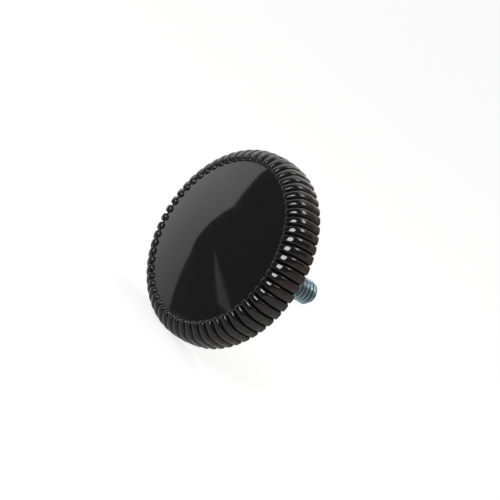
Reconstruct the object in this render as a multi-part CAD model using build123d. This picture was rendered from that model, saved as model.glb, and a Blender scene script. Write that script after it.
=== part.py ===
from build123d import *
import os
from math import radians, sin, sqrt, tan

# Knurled clamping knob: a moulded body with a ribbed rim, and the steel stud that is moulded into its hub.
# All lengths are in millimetres. The axis is Y: the crowned face looks towards -Y, the stud points to +Y.
# The origin is the centre of the hub's seat, where the knob meets the work that it clamps.

# Knob, outside
outer_diameter = 50.8     # over the rib crests, at the parting line
rim_width = 4.5           # ribbed ring, from the parting line in to the border of the face
crown_height = 3.0        # centre of the face above its border
rim_depth = 8.25          # border of the face to the rim's back edge
parting_height = 2.8      # parting line of the mould above the rim's back edge
shoulder_slope = 30       # degrees, fall of the rib crests outwards from the face
shoulder_radius = 4.4     # crests rounding over into the side
shoulder_flat_count = 3   # flats that the round of the shoulder is made in
side_draft = 5            # degrees, side tapering both ways from the parting line
edge_bevel = 0.4          # back edges of the rim and the hub

# Ribs and the grooves between them
rib_count = 60
rib_rise = 1.0            # rib above the border of the face, at its inner end
rib_end_slope = 70        # degrees, inner end face of a rib
rib_end_bevel = 0.4       # corner taken off the inner end
groove_depth = 1.0
groove_width = 1.05       # between two crests
groove_bend_share = 0.9   # bend of a groove over the shoulder, against the bend of the rib crests
groove_flat_count = 2     # flats that the bend of a groove is made in

# Knob, cored back
cap_wall = 3.5            # wall behind the face
rim_wall = 3.3            # rim between the groove bottoms and the core
hub_diameter = 19.0
hub_rise = 1.6            # seat of the hub behind the rim's back edge
core_draft = 2            # degrees, walls of the core opening towards the back
core_bevel = 0.9          # corners at the floor of the core
relief_margin = 0.6       # countersink in the seat round the stud, beyond the thread
relief_depth = 1.0

# Stud
stud_diameter = 6.35      # over the thread, which starts at the seat
stud_length = 25.4        # free length behind the seat
stud_chamfer = 0.8        # at the tip, about the depth of the thread
shank_diameter = 5.5      # plain shank in the hub, the size of the rod before its thread was rolled
head_side_count = 6
head_width = 11.1         # across the flats of the buried head
head_height = 4.0
head_cover = 2.6          # moulding between the head and the top of the crown
insert_clearance = 0.02   # stud to the moulding round it

cut_overrun = 1.0         # how far a cutting shape runs past the surface that it cuts

# Places along the axis, from the seat
rim_back = -hub_rise
parting_line = rim_back - parting_height
face_border = rim_back - rim_depth
crown_top = face_border - crown_height
head_top = crown_top + head_cover
head_seat = head_top + head_height

# Radii and slopes that follow from the sizes above
outer_radius = outer_diameter / 2
face_radius = outer_radius - rim_width
crown_radius = (face_radius**2 + crown_height**2) / (2 * crown_height)
draft_ratio = tan(radians(side_draft))
core_ratio = tan(radians(core_draft))
side_slope = 90 - side_draft
rib_end_way = Vector(1, 0).rotate(Axis.Z, -rib_end_slope)
crest_way = Vector(1, 0).rotate(Axis.Z, shoulder_slope)
front_side_way = Vector(1, 0).rotate(Axis.Z, side_slope)
back_side_way = Vector(1, 0).rotate(Axis.Z, 180 - side_slope)


def crown_at(radius):
    """Place of the crowned face along the axis at a radius."""
    return crown_top + crown_radius - sqrt(crown_radius**2 - radius**2)


def rim_corners():
    """Corners of the rib crest line before rounding: inner end, shoulder, parting line and back edge."""
    inner_end = Vector(face_radius, face_border) + rib_end_way * (rib_rise / sin(radians(rib_end_slope)))
    side_at_inner_end = outer_radius - draft_ratio * (parting_line - inner_end.Y)
    crest_length = (side_at_inner_end - inner_end.X) / (crest_way.X - draft_ratio * crest_way.Y)
    shoulder = inner_end + crest_way * crest_length
    parting = Vector(outer_radius, parting_line)
    back_edge = Vector(outer_radius - draft_ratio * parting_height, rim_back)
    return inner_end, shoulder, parting, back_edge


def core_corners(back_edge):
    """Corners of the cored back before rounding: rim mouth, rim floor, hub floor and hub seat."""
    mouth = Vector(back_edge.X - groove_depth - rim_wall, rim_back)
    rim_floor_depth = crown_at(mouth.X) + cap_wall
    rim_floor = Vector(mouth.X - core_ratio * (rim_back - rim_floor_depth), rim_floor_depth)
    hub_radius = hub_diameter / 2
    hub_floor_depth = crown_at(hub_radius) + cap_wall
    hub_floor = Vector(hub_radius - core_ratio * hub_floor_depth, hub_floor_depth)
    seat = Vector(hub_radius, 0)
    return mouth, rim_floor, hub_floor, seat


def bevelled(before, corner, after, bevel):
    """The two points that stand for a corner once its edge is taken off."""
    return [corner + (before - corner).normalized() * bevel, corner + (after - corner).normalized() * bevel]


def shoulder_points(shoulder, radius, flat_count):
    """Points round the shoulder, from the crest line over to the side, on an arc that touches both."""
    turn = side_slope - shoulder_slope
    start = shoulder - crest_way * (radius * tan(radians(turn / 2)))
    spoke = crest_way.rotate(Axis.Z, -90) * radius
    return [start - spoke + spoke.rotate(Axis.Z, turn * step / flat_count) for step in range(flat_count + 1)]


def turned(*corners):
    """A turned piece, from the corners of half its section."""
    return revolve(make_face(Polyline(*corners, close=True)), Axis.Y)


def crown():
    """The crown of the face, a cap off a large sphere."""
    sphere = Pos(0, crown_top + crown_radius, 0) * Sphere(crown_radius)
    above = crown_top - cut_overrun
    plug = turned((0, face_border), (face_radius, face_border), (face_radius, above), (0, above))
    return sphere & plug


def knob_blank():
    """The turned form of the knob under its crown, still without grooves, from half its section."""
    inner_end, shoulder, parting, back_edge = rim_corners()
    mouth, rim_floor, hub_floor, seat = core_corners(back_edge)
    border = Vector(face_radius, face_border)
    axis_end = Vector(0, 0)
    return turned(
        border,
        *bevelled(border, inner_end, shoulder, rib_end_bevel),
        *shoulder_points(shoulder, shoulder_radius, shoulder_flat_count),
        parting,
        back_edge,
        *bevelled(back_edge, mouth, rim_floor, edge_bevel),
        *bevelled(mouth, rim_floor, hub_floor, core_bevel),
        *bevelled(rim_floor, hub_floor, seat, core_bevel),
        *bevelled(hub_floor, seat, axis_end, edge_bevel),
        axis_end,
        Vector(0, face_border),
    )


def swept_groove(*corners):
    """A groove's V section, carried along a crest line."""
    path = Polyline(*corners)
    half_mouth = groove_width / 2 * (groove_depth + cut_overrun) / groove_depth
    across_path = Plane(path @ 0, x_dir=(0, 0, 1), z_dir=path % 0)
    section = Polygon((0, -groove_depth), (half_mouth, cut_overrun), (-half_mouth, cut_overrun), align=None)
    return sweep(across_path * section, path, transition=Transition.RIGHT)


def groove():
    """One groove: over the shoulder to the parting line, then down the back half of the side."""
    inner_end, shoulder, parting, back_edge = rim_corners()
    reach = groove_depth + cut_overrun
    bend = shoulder_points(shoulder, groove_bend_share * shoulder_radius, groove_flat_count)
    front = swept_groove(inner_end - crest_way * reach, *bend, parting + front_side_way * reach)
    back = swept_groove(parting - back_side_way * reach, back_edge + back_side_way * reach)
    return front + back


def head_prism(clearance=0):
    """The stud's buried head, or with a clearance at its flats the space that the moulding leaves for it."""
    head_plane = Plane((0, head_top, 0), x_dir=(1, 0, 0), z_dir=(0, 1, 0))
    flats = RegularPolygon(head_width / 2 + clearance, head_side_count, major_radius=False)
    return extrude(head_plane * flats, head_height)


def stud_solid():
    """The stud: its head and plain shank in the hub, then the threaded length with a chamfered tip."""
    shank_radius = shank_diameter / 2
    thread_radius = stud_diameter / 2
    shank_and_thread = turned(
        (0, head_seat),
        (shank_radius, head_seat),
        (shank_radius, 0),
        (thread_radius, 0),
        (thread_radius, stud_length - stud_chamfer),
        (thread_radius - stud_chamfer, stud_length),
        (0, stud_length),
    )
    return head_prism() + shank_and_thread


def stud_cavity():
    """The space in the hub round the stud's head and shank, countersunk at the seat to clear the thread."""
    radius = shank_diameter / 2 + insert_clearance
    mouth_radius = stud_diameter / 2 + relief_margin
    shank_hole = turned(
        (0, head_seat),
        (radius, head_seat),
        (radius, -relief_depth),
        (mouth_radius, 0),
        (mouth_radius, cut_overrun),
        (0, cut_overrun),
    )
    return head_prism(insert_clearance) + shank_hole


def knob_solid():
    """The moulded body: the turned form, less the grooves of the rim and the cavity round the stud."""
    first_groove = groove()
    pitch = 360 / rib_count
    grooves = [first_groove.rotate(Axis.Y, (turn + 1 / 2) * pitch) for turn in range(rib_count)]
    return knob_blank() + crown() - stud_cavity() - grooves


os.makedirs("parts", exist_ok=True)
export_step(knob_solid(), "parts/knob.step")
export_step(stud_solid(), "parts/stud.step")
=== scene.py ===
# %% [markdown]
# # A ribbed clamping knob on a threaded stud
#
# The real object is one black, polished moulding with sixty ribs round its rim, and a blue zinc-plated
# steel stud that was laid in the mould before the powder was pressed round it. The CAD solids give both
# their size and place. This lesson dresses them: it gives the ribs their rounded ends and edges, cuts the
# thread, and lights the gloss.

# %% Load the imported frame
from math import cos, pi, radians, sin, sqrt, tan

import bpy
from mathutils import Matrix, Vector


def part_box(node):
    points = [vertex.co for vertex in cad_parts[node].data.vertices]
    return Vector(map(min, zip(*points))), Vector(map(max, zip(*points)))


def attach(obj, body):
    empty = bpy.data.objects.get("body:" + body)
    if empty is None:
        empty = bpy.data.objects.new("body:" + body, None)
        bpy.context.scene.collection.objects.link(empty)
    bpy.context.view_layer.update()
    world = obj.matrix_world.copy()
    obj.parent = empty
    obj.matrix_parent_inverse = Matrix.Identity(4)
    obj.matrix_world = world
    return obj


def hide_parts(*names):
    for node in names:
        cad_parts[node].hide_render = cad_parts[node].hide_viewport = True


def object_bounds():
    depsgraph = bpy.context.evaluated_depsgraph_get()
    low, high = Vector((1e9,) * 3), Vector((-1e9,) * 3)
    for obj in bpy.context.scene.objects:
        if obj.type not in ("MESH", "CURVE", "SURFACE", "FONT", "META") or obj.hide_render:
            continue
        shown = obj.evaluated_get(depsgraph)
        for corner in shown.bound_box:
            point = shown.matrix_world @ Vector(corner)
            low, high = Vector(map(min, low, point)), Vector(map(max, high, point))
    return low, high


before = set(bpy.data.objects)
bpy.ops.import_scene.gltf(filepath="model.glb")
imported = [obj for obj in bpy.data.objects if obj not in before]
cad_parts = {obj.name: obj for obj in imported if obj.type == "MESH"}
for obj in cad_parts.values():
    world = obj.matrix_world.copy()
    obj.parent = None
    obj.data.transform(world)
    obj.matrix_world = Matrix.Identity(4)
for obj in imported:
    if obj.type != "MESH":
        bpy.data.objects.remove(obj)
cad_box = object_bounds()
MM = 0.001

for node_name in sorted(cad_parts):
    low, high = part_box(node_name)
    print(node_name, "spans", [round((b - a) / MM, 2) for a, b in zip(low, high)], "mm")

# %% [markdown]
# ## The line that the mould turned
#
# Cut the knob in half through a rib and the cut shows one line: crowned face, rib end, sloping crest,
# round shoulder, side with the parting line of the mould, back edge, cored back, hub and the hole for the
# stud. It could be drawn as a Bezier curve by hand. A list of corners with a radius for each says the
# same in numbers, and its main sizes are the CAD's.

# %% Corners of the section, in millimetres: radius from the axis, place along it
FACE_RADIUS = 20.9
HEAD_SEAT = -6.25
HEAD_TOP = -10.25

border = Vector((FACE_RADIUS, -9.85))
rib_end = Vector((21.255, -10.7))
crest_bend = Vector((22.656, -10.162))
shoulder = Vector((25.066, -8.211))
parting = Vector((25.4, -4.4))
back_edge = Vector((25.155, -1.6))
core_mouth = Vector((20.855, -1.6))
rim_floor = Vector((20.68, -6.56))
hub_floor = Vector((9.79, -8.43))
seat_edge = Vector((9.5, 0.0))
relief_mouth = Vector((3.775, 0.0))
relief_floor = Vector((2.77, -1.0))
shank_end = Vector((2.77, HEAD_SEAT))
pocket_edge = Vector((6.43, HEAD_SEAT))
pocket_top = Vector((6.43, HEAD_TOP))
pocket_centre = Vector((0.0, HEAD_TOP))
print("face", 2 * FACE_RADIUS, "mm across, rim", round(2 * parting.x, 2), "mm across")

# %% Rounded corners: the shoulder, and the bullet nose of a rib
RIB_END_RADIUS = 0.85
CREST_RADIUS = 4.0
SHOULDER_RADIUS = 4.4


def rounded(before, corner, after, radius, steps):
    """Points on the arc of a radius that touches both sides of a corner."""
    to_before = (before - corner).normalized()
    to_after = (after - corner).normalized()
    half_angle = to_before.angle(to_after) / 2
    centre = corner + (to_before + to_after).normalized() * (radius / sin(half_angle))
    start = corner + to_before * (radius / tan(half_angle)) - centre
    end = corner + to_after * (radius / tan(half_angle)) - centre
    turn = start.angle_signed(end)
    return [centre + Matrix.Rotation(-turn * i / steps, 2) @ start for i in range(steps + 1)]


shoulder_arc = rounded(crest_bend, shoulder, parting, SHOULDER_RADIUS, steps=11)
nose = rounded(border, rib_end, crest_bend, RIB_END_RADIUS, steps=8)
nose += rounded(rib_end, crest_bend, shoulder, CREST_RADIUS, steps=4)
print("points round the shoulder", len(shoulder_arc), "and the nose", len(nose))

# %% Rows of the section, each with a crest, a groove floor and a taper
RIB_END_LENGTH = 1.2    # millimetres over which a rib narrows to its tip
RIB_TIP = 0.22          # taper at the tip
RIB_SPREAD = 1.0        # added to the taper at the parting line
CROWN_TOP = -12.85
CROWN_RADIUS = 74.3
CROWN_STEPS = 16
BORDER_GUARD = 0.06     # a row this close inside the border keeps the border crisp

crest_rows = []
floor_rows = []
taper_rows = []


def rib_taper(radius):
    """Power on the share of the pitch: under 1 where a rib narrows to its tip, over 1 where it broadens."""
    from_tip = (radius - FACE_RADIUS) / RIB_END_LENGTH
    if from_tip < 1:
        return RIB_TIP + (1 - RIB_TIP) * sin(max(from_tip, 0.0) * pi / 2)
    to_side = (radius - FACE_RADIUS - RIB_END_LENGTH) / (parting.x - FACE_RADIUS - RIB_END_LENGTH)
    return 1 + RIB_SPREAD * to_side**3


def add_rows(crests, floors=None):
    """Adds rows of the section. Where the ribs don't reach, the groove's floor is the surface itself."""
    crest_rows.extend(crests)
    floor_rows.extend(floors or crests)
    taper_rows.extend(rib_taper(crest.x) if floors else 1.0 for crest in crests)


crown_radii = [FACE_RADIUS * i / CROWN_STEPS for i in range(CROWN_STEPS)]
crown_radii += [FACE_RADIUS - BORDER_GUARD, FACE_RADIUS]
add_rows([Vector((r, CROWN_TOP + CROWN_RADIUS - sqrt(CROWN_RADIUS**2 - r**2))) for r in crown_radii])
print("rows of the crown", len(crest_rows))

# %% Rows of the rim, from the rib ends over the shoulder to the back edge
GROOVE_DEPTH = 1.0
PARTING_GUARD = 0.1     # rows this close on both sides keep the parting line crisp
EDGE_RADIUS = 0.25
EDGE_STEPS = 4
EDGE_FLOOR = 0.3        # last length of the groove's floor, under the rounded back edge
BACK_LAND_RADIUS = 22.9

crest_normal = Vector((shoulder - crest_bend).normalized().yx) * Vector((1, -1))
floor_start = shoulder_arc[0] - crest_normal * GROOVE_DEPTH
arc_centre = shoulder_arc[0] - crest_normal * SHOULDER_RADIUS
add_rows(nose, [border.lerp(floor_start, (p.x - border.x) / (floor_start.x - border.x)) for p in nose])
add_rows(shoulder_arc, [p - (p - arc_centre).normalized() * GROOVE_DEPTH for p in shoulder_arc])

inward = Vector((-GROOVE_DEPTH, 0))
front_guard = parting + (shoulder - parting).normalized() * PARTING_GUARD
back_guard = parting + (back_edge - parting).normalized() * PARTING_GUARD
side_rows = [front_guard, parting, back_guard]
add_rows(side_rows, [p + inward for p in side_rows])

edge_arc = rounded(parting, back_edge, core_mouth, EDGE_RADIUS, EDGE_STEPS)
edge_drops = [-EDGE_FLOOR + EDGE_FLOOR * i / EDGE_STEPS for i in range(EDGE_STEPS + 1)]
add_rows(edge_arc, [back_edge + inward + Vector((0, drop)) for drop in edge_drops])
add_rows([Vector((BACK_LAND_RADIUS, back_edge.y))])
print("rows with the rim", len(crest_rows))

# %% [markdown]
# ## The cored back
#
# A thick lump of phenolic would cure unevenly, so the back of such a knob is cored out to an even wall,
# with a hub in the middle that grips the stud. The core could be a boolean with a second turned shape.
# The section line simply runs on through it instead, so face, rim and core are one skin without a seam.

# %% Rows of the core, the hub and the hole for the stud
LIP_RADIUS = 0.4
CORE_FLOOR_RADIUS = 0.9

add_rows(rounded(back_edge, core_mouth, rim_floor, LIP_RADIUS, steps=3))
add_rows(rounded(core_mouth, rim_floor, hub_floor, CORE_FLOOR_RADIUS, steps=5))
add_rows(rounded(rim_floor, hub_floor, seat_edge, CORE_FLOOR_RADIUS, steps=5))
add_rows(rounded(hub_floor, seat_edge, relief_mouth, LIP_RADIUS, steps=3))
add_rows([relief_mouth, relief_floor, shank_end, pocket_edge, pocket_top, pocket_centre])
print("rows of the whole section", len(crest_rows))

# %% [markdown]
# ## One rib pitch, carried along that line
#
# Sixty equal ribs call for Geometry Nodes. Lofting sixty ribs by hand, or cutting sixty grooves with
# booleans, would leave ragged triangles, and the gloss would show each one. Here a grid is laid over one
# pitch, from the middle of a rib across a groove to the middle of the next rib. Each point of the grid
# lies between the crest line and the floor line, by the groove's own section. Then the pitch is turned
# round the axis sixty times and welded.

# %% The groove's section across the ribs
RIB_COUNT = 60
RIB_EDGE = 0.68

# Millimetres from the groove's middle, height from floor to crest, way from the rib's edge to its middle
half_section = [
    (0.0, 0.0, 0.0),
    (0.05, 0.1, 0.0),
    (0.2, 0.42, 0.0),
    (0.33, 0.67, 0.0),
    (0.43, 0.82, 0.0),
    (0.54, 0.905, 0.0),
    (RIB_EDGE, 0.958, 0.0),
    (RIB_EDGE, 0.989, 0.5),
    (RIB_EDGE, 1.0, 1.0),
]
left_half = [(-across, height, -way) for across, height, way in reversed(half_section[1:])]
groove_section = [Vector((across * MM, height, way)) for across, height, way in left_half + half_section]
print("columns across one pitch", len(groove_section))

# %% An empty tree for the knob, with named inputs
def add_node(tree, kind, settings=None, inputs=None):
    """Adds a node. Settings are its own properties; an input is a value, or the output that feeds it."""
    node = tree.nodes.new(kind)
    for name, value in (settings or {}).items():
        setattr(node, name, value)
    for key, value in (inputs or {}).items():
        if isinstance(value, bpy.types.NodeSocket):
            tree.links.new(value, node.inputs[key])
        else:
            node.inputs[key].default_value = value
    return node


def new_tree(name, sizes):
    """An empty Geometry Nodes tree with named inputs, and the identifier of each."""
    tree = bpy.data.node_groups.new(name, "GeometryNodeTree")
    tree.interface.new_socket("Geometry", in_out="OUTPUT", socket_type="NodeSocketGeometry")
    tree.interface.new_socket("Geometry", in_out="INPUT", socket_type="NodeSocketGeometry")
    keys = {}
    for label, kind in sizes.items():
        keys[label] = tree.interface.new_socket(label, in_out="INPUT", socket_type=kind).identifier
    print("tree", name, "with", len(keys), "named inputs")
    return tree, keys


knob_tree, knob_keys = new_tree("ribbed_rim", {
    "Groove section": "NodeSocketObject",
    "Ribs": "NodeSocketInt",
    "Face radius": "NodeSocketFloat",
    "Rib edge": "NodeSocketFloat",
    "Pocket corner": "NodeSocketFloat",
    "Weld distance": "NodeSocketFloat",
    "Sharp angle": "NodeSocketFloat",
    "Material": "NodeSocketMaterial",
})
given = add_node(knob_tree, "NodeGroupInput").outputs

# %% The tree of one rib pitch: where each grid point takes its row and column from
def grid_over_rows(tree, rows, column_count):
    """A grid with a line of points for each row, and the row and column that a point of it belongs to."""
    row_count = add_node(tree, "GeometryNodeAttributeDomainSize", None, {"Geometry": rows}).outputs[0]
    grid = add_node(
        tree, "GeometryNodeMeshGrid", None, {"Vertices X": column_count, "Vertices Y": row_count}
    ).outputs[0]
    index = add_node(tree, "GeometryNodeInputIndex").outputs[0]
    row = add_node(tree, "ShaderNodeMath", {"operation": "MODULO"}, {0: index, 1: row_count}).outputs[0]
    share = add_node(tree, "ShaderNodeMath", {"operation": "DIVIDE"}, {0: index, 1: row_count}).outputs[0]
    column = add_node(tree, "ShaderNodeMath", {"operation": "FLOOR"}, {0: share}).outputs[0]
    return grid, row, column


rows = given["Geometry"]
section = add_node(
    knob_tree, "GeometryNodeObjectInfo", None, {"Object": given["Groove section"]}
).outputs["Geometry"]
column_count = add_node(
    knob_tree, "GeometryNodeAttributeDomainSize", None, {"Geometry": section}
).outputs[0]
grid, row, column = grid_over_rows(knob_tree, rows, column_count)
place = add_node(knob_tree, "GeometryNodeInputPosition").outputs[0]
floor_line = add_node(
    knob_tree, "GeometryNodeInputNamedAttribute", {"data_type": "FLOAT_VECTOR"}, {"Name": "groove_floor"}
).outputs["Attribute"]
as_vector = {"data_type": "FLOAT_VECTOR", "domain": "POINT"}
crest_point = add_node(
    knob_tree, "GeometryNodeSampleIndex", as_vector, {"Geometry": rows, "Value": place, "Index": row}
).outputs["Value"]
floor_point = add_node(
    knob_tree, "GeometryNodeSampleIndex", as_vector, {"Geometry": rows, "Value": floor_line, "Index": row}
).outputs["Value"]
column_point = add_node(
    knob_tree, "GeometryNodeSampleIndex", as_vector, {"Geometry": section, "Value": place, "Index": column}
).outputs["Value"]
print("knob tree, with its samples", len(knob_tree.nodes), "nodes")

# %% The tree of one rib pitch: how high each point lies between floor and crest
# The taper rides beside the floor line as its third number. Where a rib broadens, its back is rounder too.
MIX_VECTOR_A, MIX_VECTOR_B, MIX_VECTOR_OUT = 4, 5, 1     # a Mix node's sockets for vectors

across, height, way = add_node(knob_tree, "ShaderNodeSeparateXYZ", None, {0: column_point}).outputs
crest_radius = add_node(knob_tree, "ShaderNodeSeparateXYZ", None, {0: crest_point}).outputs[0]
taper = add_node(knob_tree, "ShaderNodeSeparateXYZ", None, {0: floor_point}).outputs[2]
broadening = add_node(
    knob_tree, "ShaderNodeMath", {"operation": "MAXIMUM"}, {0: taper, 1: 1.0}
).outputs[0]
roundness = add_node(
    knob_tree, "ShaderNodeMath", {"operation": "MULTIPLY"}, {0: broadening, 1: broadening}
).outputs[0]
round_height = add_node(
    knob_tree, "ShaderNodeMath", {"operation": "POWER"}, {0: height, 1: roundness}
).outputs[0]
between = add_node(
    knob_tree, "ShaderNodeMix", {"data_type": "VECTOR"},
    {"Factor": round_height, MIX_VECTOR_A: floor_point, MIX_VECTOR_B: crest_point},
).outputs[MIX_VECTOR_OUT]
radius, along, _ = add_node(knob_tree, "ShaderNodeSeparateXYZ", None, {0: between}).outputs
print("knob tree, with the heights", len(knob_tree.nodes), "nodes")

# %% The tree of one rib pitch: the angle of each point round the axis
def bent_round(tree, grid, radius, along, angle):
    """Sets each point of a grid round the Y axis, by its radius, its place along the axis and its angle."""
    cosine = add_node(tree, "ShaderNodeMath", {"operation": "COSINE"}, {0: angle}).outputs[0]
    sine = add_node(tree, "ShaderNodeMath", {"operation": "SINE"}, {0: angle}).outputs[0]
    out_x = add_node(tree, "ShaderNodeMath", {"operation": "MULTIPLY"}, {0: radius, 1: cosine}).outputs[0]
    out_z = add_node(tree, "ShaderNodeMath", {"operation": "MULTIPLY"}, {0: radius, 1: sine}).outputs[0]
    turned = add_node(tree, "ShaderNodeCombineXYZ", None, {0: out_x, 1: along, 2: out_z}).outputs[0]
    return add_node(
        tree, "GeometryNodeSetPosition", None, {"Geometry": grid, "Position": turned}
    ).outputs[0]


angle_radius = add_node(
    knob_tree, "ShaderNodeMath", {"operation": "MAXIMUM"}, {0: crest_radius, 1: given["Face radius"]}
).outputs[0]
groove_angle = add_node(
    knob_tree, "ShaderNodeMath", {"operation": "DIVIDE"}, {0: across, 1: angle_radius}
).outputs[0]
half_pitch = add_node(
    knob_tree, "ShaderNodeMath", {"operation": "DIVIDE"}, {0: pi, 1: given["Ribs"]}
).outputs[0]
edge_angle = add_node(
    knob_tree, "ShaderNodeMath", {"operation": "DIVIDE"}, {0: given["Rib edge"], 1: angle_radius}
).outputs[0]
crest_angle = add_node(
    knob_tree, "ShaderNodeMath", {"operation": "SUBTRACT"}, {0: half_pitch, 1: edge_angle}
).outputs[0]
even_angle = add_node(
    knob_tree, "ShaderNodeMath", {"operation": "MULTIPLY_ADD"}, {0: way, 1: crest_angle, 2: groove_angle}
).outputs[0]
pitch_share = add_node(
    knob_tree, "ShaderNodeMath", {"operation": "DIVIDE"}, {0: even_angle, 1: half_pitch}
).outputs[0]
way_sign = add_node(knob_tree, "ShaderNodeMath", {"operation": "SIGN"}, {0: pitch_share}).outputs[0]
plain_share = add_node(knob_tree, "ShaderNodeMath", {"operation": "ABSOLUTE"}, {0: pitch_share}).outputs[0]
bullet_share = add_node(
    knob_tree, "ShaderNodeMath", {"operation": "POWER"}, {0: plain_share, 1: taper}
).outputs[0]
bullet_angle = add_node(
    knob_tree, "ShaderNodeMath", {"operation": "MULTIPLY"}, {0: bullet_share, 1: half_pitch}
).outputs[0]
angle = add_node(
    knob_tree, "ShaderNodeMath", {"operation": "MULTIPLY"}, {0: bullet_angle, 1: way_sign}
).outputs[0]
pitch_mesh = bent_round(knob_tree, grid, radius, along, angle)
print("knob tree, with the angles", len(knob_tree.nodes), "nodes")

# %% The tree of one rib pitch: each point's depth under the crest, kept for the material
flat_between = add_node(knob_tree, "ShaderNodeCombineXYZ", None, {0: radius, 1: along}).outputs[0]
sunk = add_node(
    knob_tree, "ShaderNodeVectorMath", {"operation": "DISTANCE"}, {0: flat_between, 1: crest_point}
).outputs["Value"]
sunk_mesh = add_node(
    knob_tree, "GeometryNodeStoreNamedAttribute", {"data_type": "FLOAT", "domain": "POINT"},
    {"Geometry": pitch_mesh, "Name": "groove_depth", "Value": sunk},
).outputs[0]
print("knob tree, with the depth", len(knob_tree.nodes), "nodes")

# %% The tree of the whole rim: sixty pitches, welded
turn_points = add_node(
    knob_tree, "GeometryNodeMeshLine", None, {"Count": given["Ribs"], "Offset": (0, 0, 0)}
).outputs[0]
turn_number = add_node(knob_tree, "GeometryNodeInputIndex").outputs[0]
turn_step = add_node(
    knob_tree, "ShaderNodeMath", {"operation": "MULTIPLY"}, {0: half_pitch, 1: 2.0}
).outputs[0]
turn = add_node(
    knob_tree, "ShaderNodeMath", {"operation": "MULTIPLY_ADD"}, {0: turn_number, 1: turn_step, 2: half_pitch}
).outputs[0]
turn_vector = add_node(knob_tree, "ShaderNodeCombineXYZ", None, {1: turn}).outputs[0]
pitches = add_node(
    knob_tree, "GeometryNodeInstanceOnPoints", None,
    {"Points": turn_points, "Instance": sunk_mesh, "Rotation": turn_vector},
).outputs[0]
whole = add_node(knob_tree, "GeometryNodeRealizeInstances", None, {"Geometry": pitches}).outputs[0]
welded = add_node(
    knob_tree, "GeometryNodeMergeByDistance", None, {"Geometry": whole, "Distance": given["Weld distance"]}
).outputs[0]
print("knob tree, with all pitches", len(knob_tree.nodes), "nodes")

# %% [markdown]
# ## The pocket round the stud's head
#
# The moulding closes tightly round the hexagon head, which is what stops the stud from turning. The
# section line leaves a round pocket there, as wide as the hexagon over its corners. A boolean with a
# hexagon would cut it to shape, but it would also break the even grid. Pulling the pocket's points in to
# the six flats keeps it.

# %% The tree of the whole rim: the pocket, squeezed from a circle to a hexagon
HEAD_SIDES = 6
SIDE_TURN = 2 * pi / HEAD_SIDES
POCKET_SLACK = 0.01     # a point this many millimetres from the pocket's radius still belongs to it


def side_cosine(tree, angle):
    """Cosine of the turn from the middle of the hexagon's side that an angle falls on."""
    on_side = add_node(
        tree, "ShaderNodeMath", {"operation": "FLOORED_MODULO"}, {0: angle, 1: SIDE_TURN}
    ).outputs[0]
    from_middle = add_node(
        tree, "ShaderNodeMath", {"operation": "SUBTRACT"}, {0: on_side, 1: SIDE_TURN / 2}
    ).outputs[0]
    return add_node(tree, "ShaderNodeMath", {"operation": "COSINE"}, {0: from_middle}).outputs[0]


place_x, place_y, place_z = add_node(knob_tree, "ShaderNodeSeparateXYZ", None, {0: place}).outputs
off_axis = add_node(knob_tree, "ShaderNodeCombineXYZ", None, {0: place_x, 2: place_z}).outputs[0]
place_radius = add_node(
    knob_tree, "ShaderNodeVectorMath", {"operation": "LENGTH"}, {0: off_axis}
).outputs["Value"]
in_pocket = add_node(
    knob_tree, "FunctionNodeCompare", {"operation": "EQUAL"},
    {0: place_radius, 1: given["Pocket corner"], "Epsilon": POCKET_SLACK * MM},
).outputs[0]
place_angle = add_node(
    knob_tree, "ShaderNodeMath", {"operation": "ARCTAN2"}, {0: place_z, 1: place_x}
).outputs[0]
squeeze = add_node(
    knob_tree, "ShaderNodeMath", {"operation": "DIVIDE"},
    {0: cos(SIDE_TURN / 2), 1: side_cosine(knob_tree, place_angle)},
).outputs[0]
flat_x = add_node(
    knob_tree, "ShaderNodeMath", {"operation": "MULTIPLY"}, {0: place_x, 1: squeeze}
).outputs[0]
flat_z = add_node(
    knob_tree, "ShaderNodeMath", {"operation": "MULTIPLY"}, {0: place_z, 1: squeeze}
).outputs[0]
flat_place = add_node(
    knob_tree, "ShaderNodeCombineXYZ", None, {0: flat_x, 1: place_y, 2: flat_z}
).outputs[0]
with_pocket = add_node(
    knob_tree, "GeometryNodeSetPosition", None,
    {"Geometry": welded, "Selection": in_pocket, "Position": flat_place},
).outputs[0]
print("knob tree, with the pocket", len(knob_tree.nodes), "nodes")

# %% The tree of the whole rim: soft and sharp edges, and the material
def end_tree(tree, given, mesh):
    """Turns faces outwards, keeps edges over the sharp angle crisp, sets the material and ends the tree."""
    edge_turn = add_node(tree, "GeometryNodeInputMeshEdgeAngle").outputs[0]
    soft_edge = add_node(
        tree, "FunctionNodeCompare", {"operation": "LESS_THAN"}, {0: edge_turn, 1: given["Sharp angle"]}
    ).outputs[0]
    outward = add_node(tree, "GeometryNodeFlipFaces", None, {"Mesh": mesh}).outputs[0]
    smooth_faces = add_node(
        tree, "GeometryNodeSetShadeSmooth", {"domain": "FACE"}, {"Geometry": outward, "Shade Smooth": True}
    ).outputs[0]
    smooth_edges = add_node(
        tree, "GeometryNodeSetShadeSmooth", {"domain": "EDGE"},
        {"Geometry": smooth_faces, "Shade Smooth": soft_edge},
    ).outputs[0]
    dressed = add_node(
        tree, "GeometryNodeSetMaterial", None, {"Geometry": smooth_edges, "Material": given["Material"]}
    ).outputs[0]
    add_node(tree, "NodeGroupOutput", None, {"Geometry": dressed})
    print("tree", tree.name, "ends with", len(tree.nodes), "nodes")


end_tree(knob_tree, given, with_pocket)

# %% [markdown]
# ## The finish of the moulding
#
# The body is a phenolic thermoset, pressed in a polished steel mould: black all through, hard, and glossy
# on the face. Phenolic bends light a little more than glass (index about 1.64). The gloss isn't perfect:
# the mould's hand polish leaves a slow ripple, and the grooves, which no polishing stick reaches, are
# duller. That is what makes it look pressed and not drawn, so the roughness and the bump vary while the
# colour hardly does.

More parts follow.
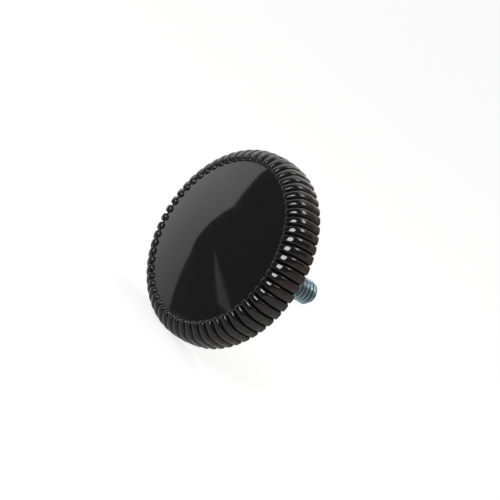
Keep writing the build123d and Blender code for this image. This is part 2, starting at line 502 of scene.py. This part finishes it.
# %% Colours, sizes of patterns and an empty material
def colour(code):
    """An sRGB hex code as a linear colour."""
    parts = [int(code[i:i + 2], 16) / 255 for i in (1, 3, 5)]
    return tuple(p / 12.92 if p <= 0.04045 else ((p + 0.055) / 1.055) ** 2.4 for p in parts) + (1.0,)


def scale_for(size_mm):
    """Texture scale that repeats about once in a length, on object coordinates in metres."""
    return 1 / (size_mm * MM)


def new_material(name):
    """A material with an empty tree, a shader and its output."""
    material = bpy.data.materials.new(name)
    material.use_nodes = True
    tree = material.node_tree
    tree.nodes.clear()
    shader = add_node(tree, "ShaderNodeBsdfPrincipled")
    add_node(tree, "ShaderNodeOutputMaterial", None, {"Surface": shader.outputs[0]})
    return material, tree, shader


WHITE = colour("#ffffff")
print("white as a linear colour", WHITE)

# %% The black phenolic
# Pressed phenolic: near-black powder with a faint cloud, a wet-looking skin, dull groove floors.
# The grains of the powder are finer than the cloud, which is drawn 3 mm wide so that it shows.
VALUE, FROM_LOW, FROM_HIGH, TO_LOW, TO_HIGH = range(5)       # a Map Range node's inputs
MIX_COLOUR_A, MIX_COLOUR_B, MIX_COLOUR_OUT = 6, 7, 2         # a Mix node's sockets for colours
PHENOLIC_IOR = 1.64
CLOUD_SIZE, HAZE_SIZE, RIPPLE_SIZE = 3, 7, 9                 # millimetres
RIPPLE_HEIGHT = 0.02                                         # millimetres
POLISHED, HAZY = 0.05, 0.1                                   # roughness of the skin
DULL_START, DULL_END, DULLNESS = 0.03, 0.3, 0.22             # millimetres deep, and roughness added

phenolic, tree, shader = new_material("pressed_black_phenolic")
shader.inputs["IOR"].default_value = PHENOLIC_IOR
spot = add_node(tree, "ShaderNodeTexCoord").outputs["Object"]
powder = add_node(
    tree, "ShaderNodeTexNoise", None,
    {"Vector": spot, "Scale": scale_for(CLOUD_SIZE), "Detail": 3.0, "Roughness": 0.6},
).outputs["Fac"]
powder_colour = add_node(
    tree, "ShaderNodeMix", {"data_type": "RGBA"},
    {"Factor": powder, MIX_COLOUR_A: colour("#0a0a0b"), MIX_COLOUR_B: colour("#121213")},
).outputs[MIX_COLOUR_OUT]
tree.links.new(powder_colour, shader.inputs["Base Color"])
haze = add_node(
    tree, "ShaderNodeTexNoise", None,
    {"Vector": spot, "Scale": scale_for(HAZE_SIZE), "Detail": 4.0, "Roughness": 0.65},
).outputs["Fac"]
skin = add_node(
    tree, "ShaderNodeMapRange", None,
    {VALUE: haze, FROM_LOW: 0.35, FROM_HIGH: 0.7, TO_LOW: POLISHED, TO_HIGH: HAZY},
).outputs[0]
sunk = add_node(tree, "ShaderNodeAttribute", {"attribute_name": "groove_depth"}).outputs["Fac"]
dull = add_node(
    tree, "ShaderNodeMapRange", None,
    {VALUE: sunk, FROM_LOW: DULL_START * MM, FROM_HIGH: DULL_END * MM, TO_LOW: 0.0, TO_HIGH: DULLNESS},
).outputs[0]
roughness = add_node(tree, "ShaderNodeMath", {"operation": "ADD"}, {0: skin, 1: dull}).outputs[0]
tree.links.new(roughness, shader.inputs["Roughness"])
ripple = add_node(
    tree, "ShaderNodeTexNoise", None, {"Vector": spot, "Scale": scale_for(RIPPLE_SIZE), "Detail": 1.0}
).outputs["Fac"]
skin_bump = add_node(
    tree, "ShaderNodeBump", None, {"Strength": 0.5, "Distance": RIPPLE_HEIGHT * MM, "Height": ripple}
).outputs[0]
tree.links.new(skin_bump, shader.inputs["Normal"])
print("material", phenolic.name, "with", len(tree.nodes), "nodes")

# %% [markdown]
# ## From tree to piece
#
# A press turns powder into one hard piece. Here the modifier turns two rows of points into one mesh: the
# first row is the section of the knob, the second the section of a groove. The modifier could stay live,
# but a plain mesh is what the frame carries, so the result is copied and the modifier goes.

# %% Make the knob
WELD = 0.002 * MM
KNOB_SHARP_ANGLE = radians(38)


def point_row(name, points, **vectors):
    """A helper object of loose points in order, with other vectors stored beside their places."""
    mesh = bpy.data.meshes.new(name)
    mesh.from_pydata(points, [], [])
    for key, values in vectors.items():
        layer = mesh.attributes.new(key, "FLOAT_VECTOR", "POINT")
        layer.data.foreach_set("vector", [c for value in values for c in value])
    helper = bpy.data.objects.new(name, mesh)
    bpy.context.scene.collection.objects.link(helper)
    return helper


def made(name, helper, tree, keys, values):
    """Runs a tree on a helper's points and keeps the result as a plain mesh object."""
    modifier = helper.modifiers.new(tree.name, "NODES")
    modifier.node_group = tree
    for label, value in values.items():
        modifier[keys[label]] = value
    graph = bpy.context.evaluated_depsgraph_get()
    mesh = bpy.data.meshes.new_from_object(
        helper.evaluated_get(graph), preserve_all_data_layers=True, depsgraph=graph
    )
    mesh.name = name
    mesh.materials.clear()
    mesh.materials.append(values["Material"])
    helper.modifiers.remove(modifier)
    bpy.data.objects.remove(helper)
    piece = bpy.data.objects.new(name, mesh)
    bpy.context.scene.collection.objects.link(piece)
    return piece


def report_mesh(piece):
    """Prints a mesh's triangles, its edges that aren't closed, and its volume: above 0 if faces look out."""
    mesh = piece.data
    mesh.calc_loop_triangles()
    uses = {}
    for polygon in mesh.polygons:
        for key in polygon.edge_keys:
            uses[key] = uses.get(key, 0) + 1
    open_edges = sum(1 for count in uses.values() if count != 2)
    volume = 0.0
    for triangle in mesh.loop_triangles:
        a, b, c = (mesh.vertices[i].co for i in triangle.vertices)
        volume += a.dot(b.cross(c)) / 6
    print(piece.name, len(mesh.loop_triangles), "triangles,", open_edges, "open edges,",
          round(volume / MM**3, 1), "mm3,", [m.name for m in mesh.materials])


rim_points = point_row(
    "rim_points",
    [(p.x * MM, p.y * MM, 0.0) for p in crest_rows],
    groove_floor=[(p.x * MM, p.y * MM, taper) for p, taper in zip(floor_rows, taper_rows)],
)
section_points = point_row("section_points", groove_section)
knob = made("ribbed_knob", rim_points, knob_tree, knob_keys, {
    "Groove section": section_points,
    "Ribs": RIB_COUNT,
    "Face radius": FACE_RADIUS * MM,
    "Rib edge": RIB_EDGE * MM,
    "Pocket corner": pocket_edge.x * MM,
    "Weld distance": WELD,
    "Sharp angle": KNOB_SHARP_ANGLE,
    "Material": phenolic,
})
bpy.data.objects.remove(section_points)
report_mesh(knob)

# %% [markdown]
# ## The stud and its thread
#
# The stud is a quarter-inch rod with twenty turns to the inch, rolled, zinc-plated and passivated to a
# cold blue. A thread can be made with the Screw modifier, but that leaves ragged ends. Here the rows of a
# grid climb with the helix, so each row stays on one crest, flank or root. Where a row runs past the seat
# or the tip it is held there, and the weld closes it, so the thread starts and ends as a cut one does.

# %% Rows of the stud, from its buried head to its tip
THREAD_PITCH = 1.27
THREAD_RADIUS = 3.175
THREAD_STEPS = 10
STUD_LENGTH = 25.4
TIP_RADIUS = 2.375
SHANK_RADIUS = 2.75
HEAD_APOTHEM = 5.55
ROUND, HEXAGON, THREAD = 0.0, 1.0, 2.0     # what a row is

stud_rows = [
    (0.0, HEAD_TOP, ROUND),
    (HEAD_APOTHEM, HEAD_TOP, HEXAGON),
    (HEAD_APOTHEM, HEAD_SEAT, HEXAGON),
    (SHANK_RADIUS, HEAD_SEAT, ROUND),
    (SHANK_RADIUS, 0.0, ROUND),
]
thread_shares = [i / THREAD_STEPS for i in range(THREAD_STEPS)]
thread_turns = int(STUD_LENGTH / THREAD_PITCH) + 2
for thread_turn in range(thread_turns):
    stud_rows += [(THREAD_RADIUS, (thread_turn + share) * THREAD_PITCH, THREAD) for share in thread_shares]
tip_shares = [1.0, 0.93, 0.5, 0.0]
stud_rows += [(TIP_RADIUS * share, STUD_LENGTH, ROUND) for share in tip_shares]
print("rows of the stud", len(stud_rows), "in", thread_turns, "turns")

# %% The tree of the stud: angle, row and hexagon
stud_tree, stud_keys = new_tree("threaded_rod", {
    "Columns": "NodeSocketInt",
    "Pitch": "NodeSocketFloat",
    "Length": "NodeSocketFloat",
    "Crest radius": "NodeSocketFloat",
    "Root radius": "NodeSocketFloat",
    "Tip radius": "NodeSocketFloat",
    "Shank radius": "NodeSocketFloat",
    "Weld distance": "NodeSocketFloat",
    "Sharp angle": "NodeSocketFloat",
    "Material": "NodeSocketMaterial",
})
given = add_node(stud_tree, "NodeGroupInput").outputs
rows = given["Geometry"]
grid, row, column = grid_over_rows(stud_tree, rows, given["Columns"])
steps = add_node(
    stud_tree, "ShaderNodeMath", {"operation": "SUBTRACT"}, {0: given["Columns"], 1: 1.0}
).outputs[0]
turn_share = add_node(
    stud_tree, "ShaderNodeMath", {"operation": "DIVIDE"}, {0: column, 1: steps}
).outputs[0]
angle = add_node(
    stud_tree, "ShaderNodeMath", {"operation": "MULTIPLY"}, {0: turn_share, 1: 2 * pi}
).outputs[0]
place = add_node(stud_tree, "GeometryNodeInputPosition").outputs[0]
row_point = add_node(
    stud_tree, "GeometryNodeSampleIndex", as_vector, {"Geometry": rows, "Value": place, "Index": row}
).outputs["Value"]
row_radius, row_along, row_form = add_node(
    stud_tree, "ShaderNodeSeparateXYZ", None, {0: row_point}
).outputs
is_thread = add_node(
    stud_tree, "FunctionNodeCompare", {"operation": "GREATER_THAN"}, {0: row_form, 1: (HEXAGON + THREAD) / 2}
).outputs[0]
is_shaped = add_node(
    stud_tree, "FunctionNodeCompare", {"operation": "GREATER_THAN"}, {0: row_form, 1: (ROUND + HEXAGON) / 2}
).outputs[0]
hexagon_radius = add_node(
    stud_tree, "ShaderNodeMath", {"operation": "DIVIDE"}, {0: row_radius, 1: side_cosine(stud_tree, angle)}
).outputs[0]
print("stud tree, with its rows", len(stud_tree.nodes), "nodes")

# %% The tree of the stud: the thread's own radius, held between the seat and the tip
CREST_FLAT = 0.14     # share of half a turn that stays on the crest
FLANK_END = 0.73      # share of half a turn where the flank reaches the root

climb = add_node(
    stud_tree, "ShaderNodeMath", {"operation": "MULTIPLY"}, {0: turn_share, 1: given["Pitch"]}
).outputs[0]
climbed = add_node(
    stud_tree, "ShaderNodeMath", {"operation": "SUBTRACT"}, {0: row_along, 1: climb}
).outputs[0]
held = add_node(stud_tree, "ShaderNodeClamp", None, {0: climbed, 1: 0.0, 2: given["Length"]}).outputs[0]
phase = add_node(stud_tree, "ShaderNodeMath", {"operation": "ADD"}, {0: held, 1: climb}).outputs[0]
half_turn = add_node(
    stud_tree, "ShaderNodeMath", {"operation": "MULTIPLY"}, {0: given["Pitch"], 1: 0.5}
).outputs[0]
off_crest = add_node(
    stud_tree, "ShaderNodeMath", {"operation": "PINGPONG"}, {0: phase, 1: half_turn}
).outputs[0]
flank_start = add_node(
    stud_tree, "ShaderNodeMath", {"operation": "MULTIPLY"}, {0: half_turn, 1: CREST_FLAT}
).outputs[0]
flank_end = add_node(
    stud_tree, "ShaderNodeMath", {"operation": "MULTIPLY"}, {0: half_turn, 1: FLANK_END}
).outputs[0]
profile = add_node(stud_tree, "ShaderNodeMapRange", None, {
    VALUE: off_crest,
    FROM_LOW: flank_start,
    FROM_HIGH: flank_end,
    TO_LOW: given["Crest radius"],
    TO_HIGH: given["Root radius"],
}).outputs[0]
print("stud tree, with the profile", len(stud_tree.nodes), "nodes")

# %% The tree of the stud: the thread's start at the seat, and the cone at its tip
to_tip = add_node(
    stud_tree, "ShaderNodeMath", {"operation": "SUBTRACT"}, {0: given["Length"], 1: held}
).outputs[0]
cone = add_node(
    stud_tree, "ShaderNodeMath", {"operation": "ADD"}, {0: to_tip, 1: given["Tip radius"]}
).outputs[0]
pointed = add_node(stud_tree, "ShaderNodeMath", {"operation": "MINIMUM"}, {0: profile, 1: cone}).outputs[0]
run_out = add_node(
    stud_tree, "ShaderNodeMath", {"operation": "ADD"}, {0: given["Shank radius"], 1: held}
).outputs[0]
run_in = add_node(
    stud_tree, "ShaderNodeMath", {"operation": "SUBTRACT"}, {0: given["Shank radius"], 1: held}
).outputs[0]
started = add_node(
    stud_tree, "ShaderNodeMath", {"operation": "MINIMUM"}, {0: pointed, 1: run_out}
).outputs[0]
thread_radius = add_node(
    stud_tree, "ShaderNodeMath", {"operation": "MAXIMUM"}, {0: started, 1: run_in}
).outputs[0]
plain_radius = add_node(
    stud_tree, "GeometryNodeSwitch", {"input_type": "FLOAT"},
    {"Switch": is_shaped, "False": row_radius, "True": hexagon_radius},
).outputs[0]
radius = add_node(
    stud_tree, "GeometryNodeSwitch", {"input_type": "FLOAT"},
    {"Switch": is_thread, "False": plain_radius, "True": thread_radius},
).outputs[0]
along = add_node(
    stud_tree, "GeometryNodeSwitch", {"input_type": "FLOAT"},
    {"Switch": is_thread, "False": row_along, "True": held},
).outputs[0]
print("stud tree, with both ends", len(stud_tree.nodes), "nodes")

# %% The tree of the stud: bent round, welded and dressed
bent = bent_round(stud_tree, grid, radius, along, angle)
depth = add_node(
    stud_tree, "ShaderNodeMath", {"operation": "SUBTRACT"}, {0: given["Crest radius"], 1: radius}
).outputs[0]
depth_mesh = add_node(
    stud_tree, "GeometryNodeStoreNamedAttribute", {"data_type": "FLOAT", "domain": "POINT"},
    {"Geometry": bent, "Name": "thread_depth", "Value": depth},
).outputs[0]
whole = add_node(stud_tree, "GeometryNodeRealizeInstances", None, {"Geometry": depth_mesh}).outputs[0]
welded = add_node(
    stud_tree, "GeometryNodeMergeByDistance", None, {"Geometry": whole, "Distance": given["Weld distance"]}
).outputs[0]
end_tree(stud_tree, given, welded)

# %% [markdown]
# ## The finish of the stud
#
# Zinc plate with a clear blue passivation is thin: on the crests it is bright and cold. Towards the roots
# the colour is painted darker, as painted shade. One flat colour would leave the thread to the light alone.
# The thread depth that the tree stored beside each point tells the material where it is.

# %% The blue zinc plate
# Zinc-plated rolled steel: a cold bright metal, satin from the plating bath, with painted shade in the
# roots.
# The grain of the plate is finer than a quarter of a millimetre, and is drawn that coarse so that it shows.
PLATE_CLOUD_SIZE, GRAIN_SIZE = 1.5, 0.25            # millimetres
GRAIN_HEIGHT = 0.01                                 # millimetres
# The root shade is painted shade, a darker colour deeper in the thread: where it starts, where it is full,
# how strong.
ROOT_SHADE_START, ROOT_SHADE_END, ROOT_SHADE_SHARE = 0.25, 0.62, 0.92     # millimetres deep, and how much of the film shows
SATIN_LOW, SATIN_HIGH = 0.32, 0.44                  # roughness of the plate

zinc, tree, shader = new_material("blue_zinc_plated_steel")
shader.inputs["Metallic"].default_value = 1.0
spot = add_node(tree, "ShaderNodeTexCoord").outputs["Object"]
cloud = add_node(
    tree, "ShaderNodeTexNoise", None,
    {"Vector": spot, "Scale": scale_for(PLATE_CLOUD_SIZE), "Detail": 4.0, "Roughness": 0.6},
).outputs["Fac"]
plate = add_node(
    tree, "ShaderNodeMix", {"data_type": "RGBA"},
    {"Factor": cloud, MIX_COLOUR_A: colour("#a9c9d8"), MIX_COLOUR_B: colour("#d3e6ee")},
).outputs[MIX_COLOUR_OUT]
sunk = add_node(tree, "ShaderNodeAttribute", {"attribute_name": "thread_depth"}).outputs["Fac"]
# Painted shade: the colour darkens towards the thread's roots by depth, standing in for the shade that falls
# there.
painted_root_shade = add_node(
    tree, "ShaderNodeMapRange", None,
    {VALUE: sunk, FROM_LOW: ROOT_SHADE_START * MM, FROM_HIGH: ROOT_SHADE_END * MM, TO_LOW: 0.0, TO_HIGH: ROOT_SHADE_SHARE},
).outputs[0]
# The plate's colour, mixed towards a dark teal painted shade in the roots.
plated = add_node(
    tree, "ShaderNodeMix", {"data_type": "RGBA"},
    {"Factor": painted_root_shade, MIX_COLOUR_A: plate, MIX_COLOUR_B: colour("#2a4c58")},
).outputs[MIX_COLOUR_OUT]
tree.links.new(plated, shader.inputs["Base Color"])
satin = add_node(
    tree, "ShaderNodeMapRange", None,
    {VALUE: cloud, FROM_LOW: 0.3, FROM_HIGH: 0.7, TO_LOW: SATIN_LOW, TO_HIGH: SATIN_HIGH},
).outputs[0]
tree.links.new(satin, shader.inputs["Roughness"])
grain = add_node(
    tree, "ShaderNodeTexNoise", None, {"Vector": spot, "Scale": scale_for(GRAIN_SIZE), "Detail": 2.0}
).outputs["Fac"]
grain_bump = add_node(
    tree, "ShaderNodeBump", None, {"Strength": 0.12, "Distance": GRAIN_HEIGHT * MM, "Height": grain}
).outputs[0]
tree.links.new(grain_bump, shader.inputs["Normal"])
print("material", zinc.name, "with", len(tree.nodes), "nodes")

# %% Make the stud
STUD_COLUMNS = 49
ROOT_RADIUS = 2.42
STUD_SHARP_ANGLE = radians(42)

stud_points = point_row("stud_points", [(r * MM, y * MM, form) for r, y, form in stud_rows])
stud = made("threaded_stud", stud_points, stud_tree, stud_keys, {
    "Columns": STUD_COLUMNS,
    "Pitch": THREAD_PITCH * MM,
    "Length": STUD_LENGTH * MM,
    "Crest radius": THREAD_RADIUS * MM,
    "Root radius": ROOT_RADIUS * MM,
    "Tip radius": TIP_RADIUS * MM,
    "Shank radius": SHANK_RADIUS * MM,
    "Weld distance": WELD,
    "Sharp angle": STUD_SHARP_ANGLE,
    "Material": zinc,
})
report_mesh(stud)

# %% [markdown]
# ## Both pieces in the frame
#
# Nothing moves on this knob: the stud is fast in the hub. Each mesh could be parented to an empty by
# hand. Here both are parented to the root's empty, and the CAD solid that each stands for is hidden.

# %% Tie both pieces to the frame
for piece, node_name in ((knob, "knob"), (stud, "stud")):
    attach(piece, "root")
    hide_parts(node_name)
    print(piece.name, "stands for", node_name)

# %% [markdown]
# ## A white floor, and a room for the gloss to reflect
#
# A polished black thing is drawn by what it reflects. The studio shows in the knob: white paper on the
# far side, a dark room on the camera's side with one pale card in it, a softbox at the camera's shoulder,
# a warm strip light overhead and a wall to the right, grey below and warm above. A lamp alone gives a
# round highlight and a black face, so here each of these is a bent card that only the gloss sees, placed
# by the compass: azimuth 0 is straight out of the knob's face, 90 is +X. Two lamps light what isn't
# gloss, and throw the shadow on the floor.

# %% White world
SKY_LEVEL = 0.4          # the world as a light
SHADED_LEVEL = 0.45      # the white paper low down, as the gloss sees it
SHADED_RISE = -0.62      # where that is reached, as the Z of a direction


def seen_directly(tree):
    """1 for rays from the camera, and for rays that a mirror or glass sends on."""
    path = add_node(tree, "ShaderNodeLightPath").outputs
    mirror = add_node(
        tree, "ShaderNodeMath", {"operation": "MAXIMUM"},
        {0: path["Is Glossy Ray"], 1: path["Is Transmission Ray"]},
    ).outputs[0]
    return add_node(
        tree, "ShaderNodeMath", {"operation": "MAXIMUM"}, {0: path["Is Camera Ray"], 1: mirror}
    ).outputs[0]


world = bpy.data.worlds.new("white_studio")
world.use_nodes = True
bpy.context.scene.world = world
tree = world.node_tree
tree.nodes.clear()
way_out = add_node(tree, "ShaderNodeTexCoord").outputs["Generated"]
rise = add_node(tree, "ShaderNodeSeparateXYZ", None, {0: way_out}).outputs["Z"]
sweep = add_node(
    tree, "ShaderNodeMapRange", None,
    {VALUE: rise, FROM_LOW: SHADED_RISE, FROM_HIGH: 0.0, TO_LOW: SHADED_LEVEL, TO_HIGH: 1.0},
).outputs[0]
sky = add_node(
    tree, "ShaderNodeMapRange", None,
    {VALUE: seen_directly(tree), FROM_LOW: 0.0, FROM_HIGH: 1.0, TO_LOW: SKY_LEVEL, TO_HIGH: sweep},
).outputs[0]
background = add_node(tree, "ShaderNodeBackground", None, {"Color": WHITE, "Strength": sky}).outputs[0]
add_node(tree, "ShaderNodeOutputWorld", None, {"Surface": background})
print("world", world.name, "with", len(tree.nodes), "nodes")

# %% White floor
# Matt white paper: no gloss, and a glow for the camera, which lifts it to white round the shadow.
FLOOR_GLOW = 0.8
FLOOR_HALF = 20.0        # metres, so that no edge shows

paper, tree, shader = new_material("white_floor_paper")
shader.inputs["Base Color"].default_value = colour("#a8a8a8")
shader.inputs["Roughness"].default_value = 0.9
shader.inputs["Specular IOR Level"].default_value = 0.0
shader.inputs["Emission Color"].default_value = WHITE
glow = add_node(
    tree, "ShaderNodeMath", {"operation": "MULTIPLY"}, {0: seen_directly(tree), 1: FLOOR_GLOW}
).outputs[0]
tree.links.new(glow, shader.inputs["Emission Strength"])

floor_height = cad_box[0][2]
floor_mesh = bpy.data.meshes.new("floor")
floor_mesh.from_pydata(
    [(x * FLOOR_HALF, y * FLOOR_HALF, floor_height) for x, y in ((-1, -1), (1, -1), (1, 1), (-1, 1))],
    [], [(0, 1, 2, 3)],
)
floor_mesh.materials.append(paper)
floor = bpy.data.objects.new("floor", floor_mesh)
bpy.context.scene.collection.objects.link(floor)
floor.visible_glossy = False
print("floor at", round(floor_height / MM, 2), "mm")

# %% How a card is bent round the knob, and the dark side of the room
CARD_COLUMNS = 24


def way_to(azimuth, elevation):
    """Direction by the compass: azimuth from the face's own way round towards +X, elevation from level."""
    a, e = radians(azimuth), radians(elevation)
    return Vector((sin(a) * cos(e), -cos(a) * cos(e), sin(e)))


def bent_card(name, level, tint, distance, edges):
    """A glowing card. Each edge gives an elevation, and the azimuths where the card starts and ends."""
    points = []
    for elevation, start, end in edges:
        azimuths = [start + (end - start) * i / CARD_COLUMNS for i in range(CARD_COLUMNS + 1)]
        points += [way_to(azimuth, elevation) * distance for azimuth in azimuths]
    faces = []
    for i in range(len(edges) - 1):
        for j in range(CARD_COLUMNS):
            corner = i * (CARD_COLUMNS + 1) + j
            above = corner + CARD_COLUMNS + 1
            faces.append((corner, corner + 1, above + 1, above))
    mesh = bpy.data.meshes.new(name)
    mesh.from_pydata(points, [], faces)
    material = bpy.data.materials.new(name)
    material.use_nodes = True
    tree = material.node_tree
    tree.nodes.clear()
    glow = add_node(tree, "ShaderNodeEmission", None, {"Color": colour(tint), "Strength": level}).outputs[0]
    add_node(tree, "ShaderNodeOutputMaterial", None, {"Surface": glow})
    mesh.materials.append(material)
    card = bpy.data.objects.new(name, mesh)
    bpy.context.scene.collection.objects.link(card)
    card.visible_camera = False
    card.visible_diffuse = False
    card.visible_shadow = False
    print("card", name, "with", len(faces), "faces, level", level)


# The room behind the camera. Its left edge draws the long curve across the face, where white paper ends.
bent_card("dark_side_of_the_room", level=0.13, tint="#ffffff", distance=0.8, edges=[
    (-34, -54, 40),
    (-18, -52.6, 47),
    (-14, -53.6, 51),
    (-8, -52.3, 58),
    (0.5, -48, 65),
    (12, -53, 75),
    (24, -52, 100),
    (34, -48, 160),
    (46, -48, 150),
    (56, -50, 66),
    (76, -60, 30),
])

# %% The other cards that only the gloss sees
# The wall to the right, in the side of the ribs: grey in the lower half, brownish in the upper half.
bent_card("grey_wall", level=0.52, tint="#fffaf7", distance=0.9, edges=[
    (-40, 30, 168),
    (-20, 38, 168),
    (0, 48, 172),
])
bent_card("warm_wall", level=0.48, tint="#ffe6d6", distance=0.9, edges=[
    (0, 48, 172),
    (18, 60, 186),
    (32, 80, 205),
    (46, 100, 214),
    (60, 128, 214),
])

# The pale card in the dark room, a small wedge low on the face.
bent_card("grey_card", level=0.48, tint="#ffffff", distance=0.7, edges=[
    (-12.4, -40, -39.5),
    (-16, -35, -31),
    (-20, -29.5, -22),
    (-24, -24, -14),
])

# The softbox at the camera's shoulder, a chain of white spots on the rib ends.
bent_card("softbox_front", level=9.0, tint="#ffffff", distance=0.6, edges=[
    (4, 24, 36),
    (16, 20, 37),
    (28, 15, 36),
    (40, 8, 32),
    (46, 5, 28),
])

# The strip light overhead, a second chain of warm spots, and the ceiling that it lights.
bent_card("warm_strip", level=6.5, tint="#fff0e2", distance=0.65, edges=[
    (61, 84, 128),
    (70, 76, 138),
    (78, 64, 150),
    (86, 30, 180),
])
bent_card("warm_ceiling", level=0.7, tint="#ffe6d6", distance=0.7, edges=[
    (60, 128, 214),
    (72, 138, 218),
    (84, 160, 220),
])

# %% Two lamps, for the floor and for what isn't gloss
def softbox(name, azimuth, elevation, distance, width, height, level, tint):
    """An area lamp that faces the knob. Its power is worked out from how bright its front should be."""
    lamp = bpy.data.lights.new(name, "AREA")
    lamp.shape = "RECTANGLE"
    lamp.size = width
    lamp.size_y = height
    lamp.energy = pi * width * height * level
    lamp.color = colour(tint)[:3]
    holder = bpy.data.objects.new(name, lamp)
    bpy.context.scene.collection.objects.link(holder)
    way = way_to(azimuth, elevation)
    facing = way.to_track_quat("Z", "Y").to_matrix().to_4x4()
    holder.matrix_world = Matrix.Translation(way * distance) @ facing
    holder.visible_camera = False
    holder.visible_glossy = False
    print(name, round(lamp.energy, 3), "W")


softbox(
    "front_softbox", azimuth=24, elevation=28, distance=0.55,
    width=0.2, height=0.42, level=4.0, tint="#ffffff",
)
softbox(
    "warm_top_light", azimuth=170, elevation=79, distance=0.6,
    width=0.46, height=0.2, level=2.0, tint="#fff3e8",
)

# %% [markdown]
# ## The camera
#
# The knob keeps its CAD frame, with the stud level. In the photograph the knob lies tipped on its rim and
# stud. The knob could be tipped to match, but then it would leave the frame, so the camera is rolled
# instead. It stands well back with a long lens, because the ribs on the near and far side of the rim are
# almost the same size.

# %% Camera at the photograph's angle
PHOTO_WIDTH = 500            # pixels
FOCAL_PIXELS = 2598
SENSOR_WIDTH = 36.0
AZIMUTH, ELEVATION, ROLL = 47.51, 10.0, radians(39.64)
CAMERA_DISTANCE = 627.0      # millimetres from what it aims at
FRAME_RIGHT = 7.72           # millimetres from the middle of the face's border to the middle of the frame
FRAME_DOWN = 2.39            # millimetres, likewise

back = way_to(AZIMUTH, ELEVATION)
level_right = Vector((cos(radians(AZIMUTH)), sin(radians(AZIMUTH)), 0.0))
level_up = back.cross(level_right)
right = level_right * cos(ROLL) + level_up * sin(ROLL)
up = level_up * cos(ROLL) - level_right * sin(ROLL)
aim = Vector((0.0, border.y, 0.0)) + right * FRAME_RIGHT - up * FRAME_DOWN
stand = (aim + back * CAMERA_DISTANCE) * MM

photo_camera = bpy.data.cameras.new("photo_camera")
photo_camera.sensor_width = SENSOR_WIDTH
photo_camera.lens = SENSOR_WIDTH * FOCAL_PIXELS / PHOTO_WIDTH
camera = bpy.data.objects.new("photo_camera", photo_camera)
bpy.context.scene.collection.objects.link(camera)
camera.matrix_world = Matrix.Translation(stand) @ Matrix((right, up, back)).transposed().to_4x4()
bpy.context.scene.camera = camera
bpy.context.scene.view_settings.view_transform = "Standard"
print("camera", [round(c, 4) for c in stand], "lens", round(photo_camera.lens, 2))
